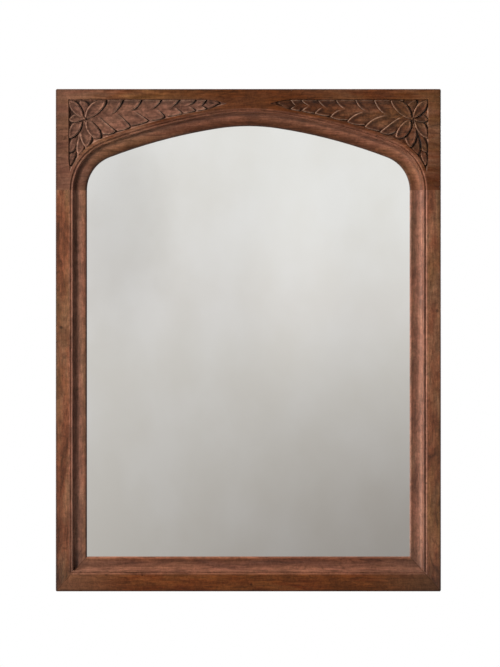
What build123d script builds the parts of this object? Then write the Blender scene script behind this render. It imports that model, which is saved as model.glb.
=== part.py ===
"""Carved wooden wall mirror: a rectangular frame with an arched sight opening and two carved spandrels.

Millimetres. +Z is up, +X is right when seen from the front, and the front faces -Y. The wall is the plane
y = 0, and the origin lies on it, midway between the two wall hooks that the mirror hangs from.

The frame is a wide header with the arch in it, two stiles that butt against the header where the arch
springs, and a bottom rail mitred to the stiles. Dowels hold these joints. One moulding, a lip, a cove, a
ridge and a groove, runs round the sight opening. The mirror plate stands on two setting blocks in a rebate,
and cushion strips and a screwed back panel hold it there. Two strap hangers with D-rings that swing, and
four rubber bumpers, are screwed to the back.
"""
import os
from math import asin, atan2, cos, degrees, pi, radians, sin, sqrt

from build123d import *

# Frame, overall
frame_width = 762.0
frame_height = 994.0
stile_width = 61.0
bottom_rail_width = 68.0
crown_rail_width = 72.5
arris_radius = 2.0
corner_radius = 3.0
wall_gap = 7.0
overrun = 5.0

# Arch: a crown arc, two flank arcs and two corner arcs, each tangent to the next
crown_arc_radius = 390.0
flank_arc_radius = 1050.0
corner_arc_radius = 70.0
crown_half_angle = 8.8

# Moulding round the sight opening: lip, sloping band, cove, ridge and groove
lip_land = 1.0
lip_radius = 4.5
band_width = 7.7
band_slope = 10.0
cove_radius = 11.5
cove_centre_down = 1.0
ridge_width = 3.3
ridge_crest_down = 0.4
ridge_foot_down = 1.6
groove_inner_run = 1.1
groove_outer_run = 2.5
groove_down = 2.7

# Rebate for the plate and ledge for the back panel
plate_overlap = 8.0
plate_edge_gap = 2.0
ledge_width = 10.0
panel_edge_gap = 1.0
panel_setback = 3.6

# Carved spandrel, sunk below the front face
carving_depth = 6.0
carving_top_border = 20.3
carving_arch_border = 5.4
carving_heel_pinch = 2.8
carving_tip_from_centre = 42.5
carving_tip_share = 0.47
carving_nose_length = 44.0
carving_heel_length = 26.0
carving_heel_inset = 3.0

# Plate, cushion, back panel
plate_thickness = 5.0
cushion_thickness = 2.0
cushion_width = 8.0
cushion_end_gap = 3.0
panel_thickness = 5.0
panel_corner_radius = 4.0
setting_block_length = 25.0
setting_block_inset = 150.0
setting_block_depth = 4.6

# Dowels
dowel_gap = 0.1
header_dowel_radius = 5.0
header_dowel_length = 60.0
header_dowel_shares = (0.27, 0.73)
mitre_dowel_radius = 3.0
mitre_dowel_length = 26.0
mitre_dowel_shares = (0.30, 0.68)
mitre_dowel_depth_share = 0.6
dowel_chamfer = 1.0

# Screws: shank radius, length, head radius and head height
screw_gap = 0.1
screw_tip_length = 3.0
slot_width = 0.9
slot_depth = 0.9
panel_screw = (1.5, 12.0, 3.0, 1.7)
panel_screws_down_side = 5
panel_screws_along_end = 4
panel_screw_end_inset = 60.0
hanger_screw = (1.75, 20.0, 3.3, 2.2)
bumper_screw = (1.5, 16.0, 3.0, 1.7)

# Strap hangers with D-rings
hook_below_joint = 40.0
hanger_from_edge = 21.0
ring_wire_radius = 1.6
ring_half_width = 10.0
ring_leg = 6.0
ring_corner_radius = 3.0
ring_running_gap = 0.08
ring_rest_gap = 0.3
strap_thickness = 1.5
strap_width = 13.0
strap_length = 42.0
strap_end_radius = 5.0
strap_curl = 240.0
strap_screw_drops = (9.0, 31.0)

# Wall bumpers
bumper_belly_radius = 7.0
bumper_end_radius = 6.0
bumper_from_side = 21.0
bumper_from_end = 24.0
bumper_recess_depth = 3.0
bumper_recess_gap = 0.6

# Places in the moulding worked out from its sizes, outward from the sight edge and down from the front
slope = radians(band_slope)
ridge_rise = asin((ridge_foot_down - cove_centre_down) / cove_radius)
lip_end_out = lip_radius * (1 + sin(slope))
cove_end_out = lip_end_out + band_width
cove_centre_out = cove_end_out + cove_radius * sin(slope)
cove_end_down = cove_centre_down + cove_radius * cos(slope)
lip_end_down = cove_end_down - band_width * sin(slope) / cos(slope)
lip_centre_down = lip_end_down + lip_radius * cos(slope)
ridge_start_out = cove_centre_out + cove_radius * cos(ridge_rise)
ridge_end_out = ridge_start_out + ridge_width
groove_out = ridge_end_out + groove_inner_run
moulding_width = groove_out + groove_outer_run
sight_depth = lip_centre_down + lip_land

# Planes and places worked out from the sizes above
frame_thickness = sight_depth + plate_thickness + cushion_thickness + panel_thickness + panel_setback
back_y = -wall_gap
front_y = back_y - frame_thickness
mid_y = (front_y + back_y) / 2
plate_front_y = front_y + sight_depth
plate_back_y = plate_front_y + plate_thickness
ledge_y = plate_back_y + cushion_thickness
panel_back_y = ledge_y + panel_thickness
half_width = frame_width / 2
sight_half_width = half_width - stile_width
rebate_out = plate_overlap + plate_edge_gap
ledge_out = rebate_out + ledge_width
panel_out = ledge_out - panel_edge_gap
carving_out = moulding_width + carving_arch_border
panel_screw_out = rebate_out + ledge_width / 2

crown_angle = radians(crown_half_angle)
corner_centre_x = sight_half_width - corner_arc_radius
flank_angle = asin(
    (corner_centre_x + (flank_arc_radius - crown_arc_radius) * sin(crown_angle))
    / (flank_arc_radius - corner_arc_radius)
)
spring_z = hook_below_joint
flank_centre_x = corner_centre_x - (flank_arc_radius - corner_arc_radius) * sin(flank_angle)
flank_centre_z = spring_z - (flank_arc_radius - corner_arc_radius) * cos(flank_angle)
crown_centre_z = flank_centre_z + (flank_arc_radius - crown_arc_radius) * cos(crown_angle)
crown_z = crown_centre_z + crown_arc_radius
top_z = crown_z + crown_rail_width
bottom_z = top_z - frame_height
sight_bottom_z = bottom_z + bottom_rail_width

ring_reach = ring_leg + ring_half_width
curl_inner_radius = ring_wire_radius + ring_running_gap
curl_outer_radius = curl_inner_radius + strap_thickness
hanger_x = half_width - hanger_from_edge
pivot_y = back_y + curl_outer_radius
ring_lean = degrees(asin((pivot_y - (back_y + ring_wire_radius + ring_rest_gap)) / ring_reach))
pivot_z = -(ring_reach - ring_wire_radius) * cos(radians(ring_lean))
strap_face_y = back_y + strap_thickness
ring_fold_lean = degrees(asin((strap_face_y + ring_wire_radius + ring_rest_gap - pivot_y) / ring_reach))
ring_swing = 180.0 + ring_lean - ring_fold_lean


def on_arc(centre_x, centre_z, radius, angle, side):
    """A point of an arch arc, at an angle from the vertical, on the left (side -1) or right (side 1)."""
    return (side * (centre_x + radius * sin(angle)), centre_z + radius * cos(angle))


def arch_edges(offset):
    """The five arcs of the arch, left to right, at a distance outward from the sight edge."""
    corner, flank, crown = corner_arc_radius + offset, flank_arc_radius + offset, crown_arc_radius + offset
    flank_mid = (crown_angle + flank_angle) / 2
    corner_mid = (flank_angle + pi / 2) / 2
    halves = []
    for side in (-1, 1):
        foot = on_arc(corner_centre_x, spring_z, corner, pi / 2, side)
        corner_bend = on_arc(corner_centre_x, spring_z, corner, corner_mid, side)
        shoulder = on_arc(corner_centre_x, spring_z, corner, flank_angle, side)
        flank_bend = on_arc(flank_centre_x, flank_centre_z, flank, flank_mid, side)
        haunch = on_arc(0, crown_centre_z, crown, crown_angle, side)
        halves.append((foot, corner_bend, shoulder, flank_bend, haunch))
    left, right = halves
    crown_top = (0, crown_centre_z + crown)
    return [
        ThreePointArc(left[0], left[1], left[2]),
        ThreePointArc(left[2], left[3], left[4]),
        ThreePointArc(left[4], crown_top, right[4]),
        ThreePointArc(right[4], right[3], right[2]),
        ThreePointArc(right[2], right[1], right[0]),
    ]


def moulding_edges():
    """The moulded front from the sight edge to the flat face, as (outward, down) edges."""
    lip_bend_angle = (pi / 2 + slope) / 2
    lip_bend = (lip_radius * (1 - cos(lip_bend_angle)), lip_centre_down - lip_radius * sin(lip_bend_angle))
    cove_bend_angle = (pi / 2 + slope + ridge_rise) / 2
    cove_bend = (
        cove_centre_out + cove_radius * cos(cove_bend_angle),
        cove_centre_down + cove_radius * sin(cove_bend_angle),
    )
    lip_end = (lip_end_out, lip_end_down)
    cove_end = (cove_end_out, cove_end_down)
    ridge_start = (ridge_start_out, ridge_foot_down)
    ridge_crest = (ridge_start_out + ridge_width / 2, ridge_crest_down)
    ridge_end = (ridge_end_out, ridge_foot_down)
    groove = (groove_out, groove_down)
    return [
        ThreePointArc((0, lip_centre_down), lip_bend, lip_end),
        Line(lip_end, cove_end),
        ThreePointArc(cove_end, cove_bend, ridge_start),
        ThreePointArc(ridge_start, ridge_crest, ridge_end),
        Line(ridge_end, groove),
        Line(groove, (moulding_width, 0)),
    ]


def member_section(width):
    """The section of a straight frame member, in (outward from the sight edge, down from the front)."""
    ledge_down = ledge_y - front_y
    corners = [
        (moulding_width, 0),
        (width, 0),
        (width, frame_thickness),
        (ledge_out, frame_thickness),
        (ledge_out, ledge_down),
        (rebate_out, ledge_down),
        (rebate_out, sight_depth),
        (0, sight_depth),
        (0, lip_centre_down),
    ]
    return make_face([*moulding_edges(), Polyline(*corners)])


def moulding_cutter_section():
    """What the moulding cutter takes away, from inside the sight edge to the groove."""
    corners = [
        (moulding_width, 0),
        (moulding_width, -overrun),
        (-overrun, -overrun),
        (-overrun, lip_centre_down),
        (0, lip_centre_down),
    ]
    return make_face([*moulding_edges(), Polyline(*corners)])


def slab(x_low, x_high, y_low, y_high, z_low, z_high):
    """A box between two corners."""
    block = Box(x_high - x_low, y_high - y_low, z_high - z_low)
    return Pos((x_low + x_high) / 2, (y_low + y_high) / 2, (z_low + z_high) / 2) * block


def rod_along_y(radius, x, z, y_from, y_to):
    """A round rod parallel to Y."""
    return Pos(x, (y_from + y_to) / 2, z) * Rot(90, 0, 0) * Cylinder(radius, abs(y_to - y_from))


def extruded_outline(edges, y_from, y_to):
    """A prism along Y over an outline drawn as (x, z)."""
    face = Plane(origin=(0, y_to, 0), x_dir=(1, 0, 0), z_dir=(0, -1, 0)) * make_face(edges)
    return extrude(face, amount=y_to - y_from)


def mirrored_pair(shape):
    """A piece and its mirror image across the plane x = 0."""
    return [shape, mirror(shape, about=Plane.YZ)]


def screw(size, flat_head):
    """A wood screw along -Y with the top of its head at the origin. A flat head is countersunk."""
    shank_radius, length, head_radius, head_height = size
    shank = [(shank_radius, head_height), (shank_radius, length - screw_tip_length), (0, length)]
    if flat_head:
        head = [(0, 0), (head_radius, 0)]
    else:
        head = [(0, 0), (head_radius / 2, 0), (head_radius, head_height / 2), (head_radius, head_height)]
    body = revolve(make_face(Polyline(*head, *shank, close=True)), axis=Axis.Y)
    cross = Box(slot_width, slot_depth, head_radius) + Box(head_radius, slot_depth, slot_width)
    body -= Pos(0, slot_depth / 2, 0) * cross
    return mirror(body, about=Plane.XZ)


def panel_screw_places():
    """Screws round the back panel, as (x, z), each over the middle of the ledge."""
    side_x = sight_half_width + panel_screw_out
    high_z = crown_z + panel_screw_out
    low_z = sight_bottom_z - panel_screw_out
    side_span = high_z - low_z - 2 * panel_screw_end_inset
    end_span = 2 * (side_x - panel_screw_end_inset)
    places = []
    for i in range(panel_screws_down_side):
        z = low_z + panel_screw_end_inset + side_span * i / (panel_screws_down_side - 1)
        places += [(-side_x, z), (side_x, z)]
    for i in range(panel_screws_along_end):
        x = -end_span / 2 + end_span * i / (panel_screws_along_end - 1)
        places += [(x, low_z), (x, high_z)]
    return places


def hanger_screw_places():
    """Screws of the left and right strap hanger, as (x, z)."""
    return [(side * hanger_x, pivot_z - drop) for side in (-1, 1) for drop in strap_screw_drops]


def bumper_places():
    """The four wall bumpers, as (x, z)."""
    x = half_width - bumper_from_side
    return [(side * x, z) for side in (-1, 1) for z in (bottom_z + bumper_from_end, top_z - bumper_from_end)]


def pilot_holes():
    """Every screw hole in the wood of the frame."""
    bumper_seat_y = back_y + wall_gap - bumper_recess_depth
    drilled = [
        (panel_screw, panel_screw_places(), panel_back_y),
        (hanger_screw, hanger_screw_places(), strap_face_y + hanger_screw[3]),
        (bumper_screw, bumper_places(), bumper_seat_y),
    ]
    holes = []
    for size, places, head_y in drilled:
        for x, z in places:
            holes.append(rod_along_y(size[0] + screw_gap, x, z, head_y - size[1] - screw_gap, head_y))
    return holes


def header_dowel(radius, length):
    """Dowels, or the holes for them, across the joint between the header and each stile."""
    solid_width = stile_width - ledge_out
    outs = [sight_half_width + ledge_out + share * solid_width for share in header_dowel_shares]
    return [Pos(side * x, mid_y, spring_z) * Cylinder(radius, length) for side in (-1, 1) for x in outs]


def mitre_dowel(radius, length):
    """Dowels, or the holes for them, square across each mitre."""
    tilt = degrees(atan2(stile_width, bottom_rail_width))
    y = front_y + mitre_dowel_depth_share * frame_thickness
    pins = []
    for share in mitre_dowel_shares:
        x = sight_half_width + rebate_out + share * (stile_width - rebate_out)
        z = sight_bottom_z - rebate_out - share * (bottom_rail_width - rebate_out)
        pins.append(Pos(x, y, z) * Rot(0, tilt, 0) * Cylinder(radius, length))
    return [half for pin in pins for half in mirrored_pair(pin)]


def mitre_corners():
    """The right-hand mitre line from the sight corner, by the moulding's corner, to the frame's corner."""
    return [
        (sight_half_width, sight_bottom_z),
        (sight_half_width + moulding_width, sight_bottom_z - moulding_width),
        (half_width, bottom_z),
    ]


def frame_blank():
    """A prism of the whole frame's outline, its four corners and its front edge rounded."""
    outline = RectangleRounded(frame_width, frame_height, corner_radius)
    at = Plane(origin=(0, back_y, (top_z + bottom_z) / 2), x_dir=(1, 0, 0), z_dir=(0, -1, 0))
    blank = extrude(at * outline, amount=frame_thickness)
    return fillet(blank.faces().sort_by(Axis.Y)[0].edges(), arris_radius)


def carving_outline():
    """The sunk field of the left spandrel: two straight borders, the arch below, and a pinched tip each end."""
    side_x = carving_heel_pinch - sight_half_width - carving_out
    high_z = top_z - carving_top_border
    crown, flank, corner = (r + carving_out for r in (crown_arc_radius, flank_arc_radius, corner_arc_radius))
    tip_x = -carving_tip_from_centre
    arch_z = crown_centre_z + sqrt(crown**2 - tip_x**2)
    tip = (tip_x, arch_z + carving_tip_share * (high_z - arch_z))
    nose_angle = asin((carving_tip_from_centre + carving_nose_length - flank_centre_x) / flank)
    nose = on_arc(flank_centre_x, flank_centre_z, flank, nose_angle, -1)
    flank_bend = on_arc(flank_centre_x, flank_centre_z, flank, (nose_angle + flank_angle) / 2, -1)
    shoulder = on_arc(corner_centre_x, spring_z, corner, flank_angle, -1)
    heel_angle = asin((-(side_x + carving_heel_inset) - corner_centre_x) / corner)
    heel = on_arc(corner_centre_x, spring_z, corner, heel_angle, -1)
    heel_bend = on_arc(corner_centre_x, spring_z, corner, (flank_angle + heel_angle) / 2, -1)
    knee = (side_x, heel[1] + carving_heel_length)
    brow = (tip[0] - carving_nose_length, high_z)
    brow_bend = ((brow[0] + tip[0]) / 2, high_z - (high_z - tip[1]) / 3)
    return [
        Line(knee, (side_x, high_z)),
        Line((side_x, high_z), brow),
        ThreePointArc(brow, brow_bend, tip),
        Line(tip, nose),
        ThreePointArc(nose, flank_bend, shoulder),
        ThreePointArc(shoulder, heel_bend, heel),
        Line(heel, knee),
    ]


def make_header():
    """The top board: arched underneath, moulded along the arch, with the two spandrels sunk in its face."""
    board = frame_blank() & slab(-half_width, half_width, front_y, back_y, spring_z, top_z)
    sight_edges = [
        *arch_edges(0),
        Polyline(
            (sight_half_width, spring_z),
            (sight_half_width, spring_z - overrun),
            (-sight_half_width, spring_z - overrun),
            (-sight_half_width, spring_z),
        ),
    ]
    board -= extruded_outline(sight_edges, front_y - overrun, back_y + overrun)
    left_foot = (-sight_half_width, spring_z - overrun)
    right_foot = (sight_half_width, spring_z - overrun)
    path_2d = Wire(
        [
            Line(left_foot, (-sight_half_width, spring_z)),
            *arch_edges(0),
            Line((sight_half_width, spring_z), right_foot),
        ]
    )
    path = Plane(origin=(0, front_y, 0), x_dir=(1, 0, 0), z_dir=(0, -1, 0)) * path_2d
    start = Plane(origin=(left_foot[0], front_y, left_foot[1]), x_dir=(-1, 0, 0), z_dir=(0, 0, -1))
    board -= sweep(start * moulding_cutter_section(), path=path)
    rebate = sight_half_width + rebate_out
    ledge = sight_half_width + ledge_out
    board -= slab(-rebate, rebate, plate_front_y, back_y + overrun, spring_z - overrun, crown_z + rebate_out)
    board -= slab(-ledge, ledge, ledge_y, back_y + overrun, spring_z - overrun, crown_z + ledge_out)
    field = extruded_outline(carving_outline(), front_y - overrun, front_y + carving_depth)
    board -= mirrored_pair(field)
    board -= header_dowel(header_dowel_radius + dowel_gap, header_dowel_length + 2 * dowel_gap)
    return board - pilot_holes()


def make_stile_right():
    """The right upright, butted to the header and mitred to the bottom rail."""
    section = Plane(origin=(sight_half_width, front_y, bottom_z), x_dir=(1, 0, 0), z_dir=(0, 0, 1))
    stile = extrude(section * member_section(stile_width), amount=spring_z - bottom_z)
    corners = mitre_corners()
    kept = Polyline(*corners, (half_width, spring_z), (sight_half_width, spring_z), close=True)
    stile = stile & extruded_outline(kept, front_y, back_y) & frame_blank()
    stile -= header_dowel(header_dowel_radius + dowel_gap, header_dowel_length + 2 * dowel_gap)
    stile -= mitre_dowel(mitre_dowel_radius + dowel_gap, mitre_dowel_length + 2 * dowel_gap)
    return stile - pilot_holes()


def make_bottom_rail():
    """The bottom rail, mitred at both ends."""
    section = Plane(origin=(-half_width, front_y, sight_bottom_z), x_dir=(0, 0, -1), z_dir=(1, 0, 0))
    rail = extrude(section * member_section(bottom_rail_width), amount=frame_width)
    right = mitre_corners()
    left = [(-x, z) for x, z in reversed(right)]
    kept = Polyline(*right, *left, close=True)
    rail = rail & extruded_outline(kept, front_y, back_y) & frame_blank()
    rail -= mitre_dowel(mitre_dowel_radius + dowel_gap, mitre_dowel_length + 2 * dowel_gap)
    return rail - pilot_holes()


def chamfered_pins(pins):
    """Dowels with their two end edges broken."""
    return [chamfer(pin.edges().filter_by(GeomType.CIRCLE), dowel_chamfer) for pin in pins]


def make_mirror_plate():
    """The silvered glass plate."""
    x = sight_half_width + plate_overlap
    z_low, z_high = sight_bottom_z - plate_overlap, crown_z + plate_overlap
    return slab(-x, x, plate_front_y, plate_back_y, z_low, z_high)


def make_setting_block():
    """The right one of two rubber blocks under the plate's bottom edge, in the rebate."""
    z_high = sight_bottom_z - plate_overlap
    x = sight_half_width - setting_block_inset
    y_high = plate_front_y + setting_block_depth
    half = setting_block_length / 2
    return slab(x - half, x + half, plate_front_y, y_high, z_high - plate_edge_gap, z_high)


def make_cushion_strips():
    """The right, bottom and top felt strips between the plate and the back panel."""
    x = sight_half_width + plate_overlap
    z_low, z_high = sight_bottom_z - plate_overlap, crown_z + plate_overlap
    run = x - cushion_width - cushion_end_gap
    side = slab(x - cushion_width, x, plate_back_y, ledge_y, z_low, z_high)
    low = slab(-run, run, plate_back_y, ledge_y, z_low, z_low + cushion_width)
    high = slab(-run, run, plate_back_y, ledge_y, z_high - cushion_width, z_high)
    return side, low, high


def make_back_panel():
    """The board behind the plate, countersunk for its screws."""
    x = sight_half_width + panel_out
    z_low, z_high = sight_bottom_z - panel_out, crown_z + panel_out
    outline = RectangleRounded(2 * x, z_high - z_low, panel_corner_radius)
    at = Plane(origin=(0, panel_back_y, (z_low + z_high) / 2), x_dir=(1, 0, 0), z_dir=(0, -1, 0))
    panel = extrude(at * outline, amount=panel_thickness)
    shank_radius, _, head_radius, head_height = panel_screw
    hole = Cylinder(shank_radius + screw_gap, 2 * panel_thickness)
    sink = Pos(0, 0, -(head_height + screw_gap) / 2) * Cone(
        shank_radius + screw_gap, head_radius + screw_gap, head_height + screw_gap
    )
    cutter = Rot(-90, 0, 0) * (hole + sink)
    return panel - [Pos(px, panel_back_y, pz) * cutter for px, pz in panel_screw_places()]


def make_screws(size, flat_head, places, head_y):
    """A set of equal screws with their heads' tops at one depth."""
    one = screw(size, flat_head)
    return [Pos(x, head_y, z) * one for x, z in places]


def make_strap():
    """The right strap hanger: a plate on the stile's back with its top end curled round the ring's bar."""
    tail_z = pivot_z - strap_length
    end = radians(180.0 - strap_curl)
    mid = (pi + end) / 2
    outer, inner = curl_outer_radius, curl_inner_radius

    def on_curl(radius, angle):
        return (pivot_y + radius * cos(angle), pivot_z + radius * sin(angle))

    edges = [
        Polyline(on_curl(inner, pi), (strap_face_y, tail_z), (back_y, tail_z), on_curl(outer, pi)),
        ThreePointArc(on_curl(outer, pi), on_curl(outer, mid), on_curl(outer, end)),
        Line(on_curl(outer, end), on_curl(inner, end)),
        ThreePointArc(on_curl(inner, end), on_curl(inner, mid), on_curl(inner, pi)),
    ]
    at = Plane(origin=(hanger_x - strap_width / 2, 0, 0), x_dir=(0, 1, 0), z_dir=(1, 0, 0))
    strap = extrude(at * make_face(edges), amount=strap_width)
    tail_edges = [
        e
        for e in strap.edges().filter_by(Axis.Y)
        if abs(e.center().Z - tail_z) < strap_thickness
    ]
    strap = fillet(tail_edges, strap_end_radius)
    holes = [
        rod_along_y(hanger_screw[0] + screw_gap, hanger_x, pivot_z - drop, back_y - overrun, 0)
        for drop in strap_screw_drops
    ]
    return strap - holes


def make_ring():
    """The right D-ring, leaning back against the stile as it does on its hook."""
    top = ring_leg + ring_half_width
    bend = ring_corner_radius * (1 - sqrt(0.5))
    half_path = [
        Line((0, 0), (ring_half_width - ring_corner_radius, 0)),
        ThreePointArc(
            (ring_half_width - ring_corner_radius, 0),
            (ring_half_width - bend, bend),
            (ring_half_width, ring_corner_radius),
        ),
        Line((ring_half_width, ring_corner_radius), (ring_half_width, ring_leg)),
        ThreePointArc(
            (ring_half_width, ring_leg),
            (ring_half_width * sqrt(0.5), ring_leg + ring_half_width * sqrt(0.5)),
            (0, top),
        ),
    ]
    path = Plane.XZ * Wire(half_path)
    wire_section = Plane.YZ * Circle(ring_wire_radius)
    half = sweep(wire_section, path=path)
    ring = half + mirror(half, about=Plane.YZ)
    return Pos(hanger_x, pivot_y, pivot_z) * Rot(ring_lean, 0, 0) * ring


def make_bumper():
    """A rubber bumper on the plane y = 0, with a sunk seat for its screw."""
    shank_radius, _, head_radius, head_height = bumper_screw
    hole, seat = shank_radius + screw_gap, wall_gap - bumper_recess_depth
    outline = Polyline(
        (hole, 0),
        (bumper_end_radius, 0),
        (bumper_belly_radius, wall_gap / 2),
        (bumper_end_radius, wall_gap),
        (head_radius + bumper_recess_gap, wall_gap),
        (head_radius + bumper_recess_gap, seat),
        (head_radius + screw_gap, seat),
        (hole, seat - head_height - screw_gap),
        close=True,
    )
    return revolve(make_face(outline), axis=Axis.Y)


def write(name, *shapes):
    """Writes one node, a single solid or a group of separate solids."""
    solids = [solid for shape in shapes for solid in shape.solids()]
    export_step(solids[0] if len(solids) == 1 else Compound(children=solids), f"parts/{name}.step")


def write_pair(name, right):
    """Writes a right-hand piece and its mirror image on the left."""
    write(f"{name}_right", right)
    write(f"{name}_left", mirror(right, about=Plane.YZ))


def main():
    os.makedirs("parts", exist_ok=True)
    strip, strip_low, strip_high = make_cushion_strips()
    hanger_screw_y = strap_face_y + hanger_screw[3]
    bumper_seat_y = back_y + wall_gap - bumper_recess_depth

    write("header", make_header())
    write_pair("stile", make_stile_right())
    write("bottom_rail", make_bottom_rail())
    write("header_dowels", *chamfered_pins(header_dowel(header_dowel_radius, header_dowel_length)))
    write("mitre_dowels", *chamfered_pins(mitre_dowel(mitre_dowel_radius, mitre_dowel_length)))

    write("mirror_plate", make_mirror_plate())
    write_pair("setting_block", make_setting_block())
    write_pair("cushion_strip", strip)
    write("cushion_strip_bottom", strip_low)
    write("cushion_strip_top", strip_high)
    write("back_panel", make_back_panel())
    write("back_panel_screws", *make_screws(panel_screw, True, panel_screw_places(), panel_back_y))

    write_pair("hanger_strap", make_strap())
    write_pair("hanger_ring", make_ring())
    for name, side in (("left", -1), ("right", 1)):
        places = [place for place in hanger_screw_places() if place[0] * side > 0]
        write(f"hanger_screws_{name}", *make_screws(hanger_screw, False, places, hanger_screw_y))

    bumper = make_bumper()
    for x, z in bumper_places():
        name = f"wall_bumper_{'top' if z > spring_z else 'bottom'}_{'right' if x > 0 else 'left'}"
        write(name, Pos(x, back_y, z) * bumper)
    write("bumper_screws", *make_screws(bumper_screw, True, bumper_places(), bumper_seat_y))

    print(f"rings: pivot at x {hanger_x:.1f}, y {pivot_y:.3f}, z {pivot_z:.3f}, swing {ring_swing:.1f} degrees")


main()
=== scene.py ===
from dataclasses import dataclass, replace

import bmesh
import bpy
import numpy as np
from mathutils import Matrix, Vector, geometry, kdtree, noise


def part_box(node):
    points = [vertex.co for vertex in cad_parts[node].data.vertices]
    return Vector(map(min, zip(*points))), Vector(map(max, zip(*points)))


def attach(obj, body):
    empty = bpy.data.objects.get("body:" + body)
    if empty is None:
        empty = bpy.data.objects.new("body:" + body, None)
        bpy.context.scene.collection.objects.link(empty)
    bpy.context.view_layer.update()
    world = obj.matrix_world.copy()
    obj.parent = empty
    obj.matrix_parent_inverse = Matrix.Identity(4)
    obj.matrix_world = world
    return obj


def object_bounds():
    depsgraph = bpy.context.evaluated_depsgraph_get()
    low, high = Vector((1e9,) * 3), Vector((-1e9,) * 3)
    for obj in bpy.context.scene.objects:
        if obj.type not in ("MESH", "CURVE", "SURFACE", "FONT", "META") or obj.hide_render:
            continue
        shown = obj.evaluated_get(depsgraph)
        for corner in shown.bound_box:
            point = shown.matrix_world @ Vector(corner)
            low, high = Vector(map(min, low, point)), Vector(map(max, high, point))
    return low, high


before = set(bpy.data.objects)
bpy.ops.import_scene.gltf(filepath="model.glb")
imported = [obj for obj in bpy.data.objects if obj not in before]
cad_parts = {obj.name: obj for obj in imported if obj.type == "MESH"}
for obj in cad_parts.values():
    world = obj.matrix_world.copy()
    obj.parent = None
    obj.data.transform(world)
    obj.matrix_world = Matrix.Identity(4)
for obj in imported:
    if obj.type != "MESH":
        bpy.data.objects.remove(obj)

cad_low, cad_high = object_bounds()
front_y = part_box("header")[0].y
plate_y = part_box("mirror_plate")[0].y
stile_low, stile_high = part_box("stile_left")
rail_low, rail_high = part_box("bottom_rail")

# Scale of the photograph, and where the mirror stands in it
MM = 0.001
photo_width, photo_height = 500, 667
photo_left, photo_right, photo_top = 55.72, 440.95, 88.95
metres_per_pixel = (cad_high.x - cad_low.x) / (photo_right - photo_left)


def linear(red, green, blue, alpha=1.0):
    """A display colour, 0 to 255, as a scene-linear one."""
    shares = [value / 255 for value in (red, green, blue)]
    return (*[s / 12.92 if s <= 0.04045 else ((s + 0.055) / 1.055) ** 2.4 for s in shares], alpha)


def grey(level):
    return (level, level, level, 1.0)


class Graph:
    """A node tree that is written from left to right."""

    def __init__(self, tree):
        self.tree = tree
        tree.nodes.clear()

    def add(self, kind, inputs=None, **settings):
        node = self.tree.nodes.new(kind)
        for name, value in settings.items():
            setattr(node, name, value)
        for name, value in (inputs or {}).items():
            self.put(node.inputs[name], value)
        return node

    def put(self, socket, value):
        if isinstance(value, bpy.types.NodeSocket):
            self.tree.links.new(value, socket)
        else:
            socket.default_value = value

    def math(self, operation, first, second=0.0, third=0.0):
        node = self.add("ShaderNodeMath", operation=operation)
        for socket, value in zip(node.inputs, (first, second, third)):
            self.put(socket, value)
        return node.outputs[0]

    def product(self, *factors):
        result = factors[0]
        for factor in factors[1:]:
            result = self.math("MULTIPLY", result, factor)
        return result

    def mix(self, share, first, second, blend="MIX"):
        node = self.add("ShaderNodeMix", data_type="RGBA", blend_type=blend)
        for name, value in (("Factor_Float", share), ("A_Color", first), ("B_Color", second)):
            self.put(next(s for s in node.inputs if s.identifier == name), value)
        return next(s for s in node.outputs if s.identifier == "Result_Color")

    def ramp(self, share, stops):
        node = self.add("ShaderNodeValToRGB", {"Fac": share})
        elements = node.color_ramp.elements
        while len(elements) < len(stops):
            elements.new(1.0)
        for element, (position, colour) in zip(elements, stops):
            element.position = position
            element.color = colour
        return node.outputs["Color"]

    def spread(self, share, low, high, low_to=0.0, high_to=1.0, smooth=True):
        """What runs from one value to another while a share runs from low to high."""
        inputs = {"Value": share, "From Min": low, "From Max": high, "To Min": low_to, "To Max": high_to}
        kind = "SMOOTHSTEP" if smooth else "LINEAR"
        return self.add("ShaderNodeMapRange", inputs, interpolation_type=kind).outputs["Result"]

    def place(self, scale, offset=(0, 0, 0)):
        """The object's own coordinates, in metres, stretched and shifted."""
        coordinates = self.add("ShaderNodeTexCoord").outputs["Object"]
        inputs = {"Vector": coordinates, "Scale": scale, "Location": offset}
        return self.add("ShaderNodeMapping", inputs).outputs[0]

    def distance(self, point, place):
        inputs = {0: point, 1: place}
        return self.add("ShaderNodeVectorMath", inputs, operation="DISTANCE").outputs["Value"]

    def noise(self, vector, scale=1.0, detail=4.0, roughness=0.5, distortion=0.0):
        inputs = {"Vector": vector, "Scale": scale, "Detail": detail, "Roughness": roughness,
                  "Distortion": distortion}
        return self.add("ShaderNodeTexNoise", inputs).outputs["Fac"]


# Camera, lights, world and floor

camera_distance = 6.0
lamp_tint = (1.0, 0.98, 0.95)
lamps = [
    # name, place, size, watts, seen in gloss
    ("key", (-4.25, -4.7, 0.6), 1.1, 285.0, False),
    ("rim", (-3.6, -1.3, 4.2), 0.8, 280.0, False),
    ("back_fill", (1.8, 2.6, 0.8), 2.0, 150.0, True),
]
floor_drop, floor_radius = 0.6, 2.6

# The far wall that the plate reflects: lighter higher up, and more so on one side
wall_lean, wall_span = 9.0, 0.16
wall_tones = [
    (0.0, (124, 119, 114)), (0.275, (170, 166, 162)), (0.381, (190, 187, 183)), (0.483, (211, 209, 206)),
    (0.534, (220, 218, 216)), (0.586, (226, 225, 223)), (0.678, (233, 233, 231)), (1.0, (241, 241, 239)),
]
wall_edge = (-0.985, -0.90)

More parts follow.
